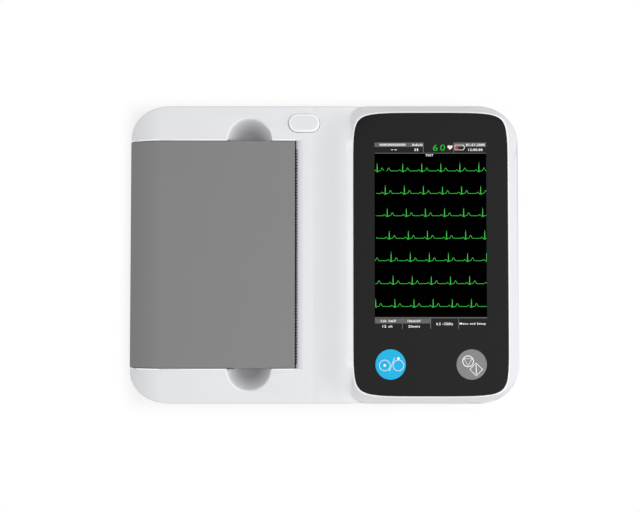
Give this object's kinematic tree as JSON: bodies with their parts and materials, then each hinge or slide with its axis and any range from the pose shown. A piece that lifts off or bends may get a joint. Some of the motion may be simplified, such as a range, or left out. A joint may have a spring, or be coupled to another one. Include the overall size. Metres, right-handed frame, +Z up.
{
  "type": "ecg machine",
  "caption": "Desktop electrocardiograph with a raised touch screen pod, hinged printer cover with serrated tear bar, thermal chart printer, release button and rear connectors.",
  "frame": {"origin": "centre of the footprint, on the table the feet stand on", "axes": "+X to the operator's right, towards the screen; +Y to the back; +Z up"},
  "size_m": [0.391, 0.298, 0.072],
  "materials": {
    "case_white": "fine matte texture",
    "cover_grey": "fine matte texture",
    "panel_black": "smooth, slightly glossy",
    "key_blue": "satin print",
    "key_grey": "satin print",
    "screen": "smooth",
    "seal_rubber": "matte",
    "foot_rubber": "matte",
    "platen_rubber": "ground matte",
    "steel": "bright zinc",
    "chassis_steel": "zinc coated sheet",
    "tear_black": "matte black",
    "gear_plastic": "natural acetal",
    "tray_plastic": "matte",
    "board_green": "solder mask",
    "chip_black": "matte",
    "connector_black": "matte",
    "contact_brass": "plated",
    "battery_wrap": "shrink wrap",
    "head_ceramic": "glazed edge",
    "head_aluminium": "mill finish",
    "paper_pink": "thermal chart paper"
  },
  "bodies": {
    "case": {"ac_inlet": "connector_black", "battery_door": "case_white", "battery_door_screws": "steel", "battery_pack": "battery_wrap", "board_screws": "steel", "button_bracket": "tray_plastic", "button_spring": "steel", "case_screws": "steel", "chart_paper": "paper_pink", "chassis_screws": "steel", "display_bracket": "chassis_steel", "display_bracket_screws": "steel", "display_module": "screen", "display_seal": "seal_rubber", "ecg_board": "board_green", "ecg_shield": "steel", "ground_post": "contact_brass", "head_pivot_rod": "steel", "head_springs": "steel", "hinge_pins": "steel", "idler_pin": "steel", "inlet_pins": "contact_brass", "lan_port": "steel", "lower_case": "case_white", "main_board": "board_green", "main_board_chips": "chip_black", "paper_tray": "tray_plastic", "paper_web": "paper_pink", "patient_connector": "connector_black", "power_board": "board_green", "power_board_parts": "chip_black", "power_key": "key_blue", "print_chassis": "chassis_steel", "rubber_feet": "foot_rubber", "speaker": "chip_black", "start_key": "key_grey", "stepper_motor": "steel", "touch_key_board": "board_green", "touch_panel": "panel_black", "upper_case": "case_white", "usb_ports": "steel"},
    "cover": {"printer_cover": "cover_grey", "cover_frame": "tray_plastic", "tear_bar": "tear_black", "platen_bushes": "gear_plastic"},
    "platen": {"platen_shaft": "steel", "platen_roller": "platen_rubber", "platen_gear": "gear_plastic"},
    "idler": {"idler_gear": "gear_plastic"},
    "motor_rotor": {"motor_shaft": "steel", "motor_pinion": "gear_plastic"},
    "button": {"release_button": "case_white"},
    "latch": {"latch_shaft": "steel", "latch_hooks": "steel", "latch_lever": "steel"},
    "head": {"print_head": "head_ceramic", "head_heat_sink": "head_aluminium"}
  },
  "joints": [
    {"name": "cover_hinge", "type": "hinge", "parent": "case", "child": "cover", "pos_m": [-0.1915, 0, 0.0395], "axis": [0, -1, 0], "range_deg": [0, 90]},
    {"name": "platen_spin", "type": "hinge", "parent": "cover", "child": "platen", "pos_m": [-0.0391, 0, 0.05], "axis": [0, 1, 0], "continuous": true},
    {"name": "idler_spin", "type": "hinge", "parent": "case", "child": "idler", "pos_m": [-0.05252, 0, 0.0301], "axis": [0, 1, 0], "continuous": true},
    {"name": "motor_spin", "type": "hinge", "parent": "case", "child": "motor_rotor", "pos_m": [-0.07225, 0, 0.02292], "axis": [0, 1, 0], "continuous": true},
    {"name": "release_press", "type": "slide", "parent": "case", "child": "button", "axis": [0, 0, -1], "range_m": [0, 0.0025], "stiffness_N_per_m": 400, "springref_m": -0.003, "deforming": ["button_spring"]},
    {"name": "latch_swing", "type": "hinge", "parent": "case", "child": "latch", "pos_m": [-0.0316, 0, 0.031], "axis": [0, 1, 0], "range_deg": [0, 13.5]},
    {"name": "head_pivot", "type": "hinge", "parent": "case", "child": "head", "pos_m": [-0.02762, 0, 0.03582], "axis": [0, 1, 0], "range_deg": [0, 1], "stiffness_Nm_per_rad": 2, "springref_deg": -1.15}
  ],
  "couplings": [
    {"joint": "idler_spin", "follows": "platen_spin", "ratio": -0.6},
    {"joint": "motor_spin", "follows": "platen_spin", "ratio": 1.5},
    {"joint": "latch_swing", "follows": "release_press", "rad_per_m": 93.5}
  ]
}
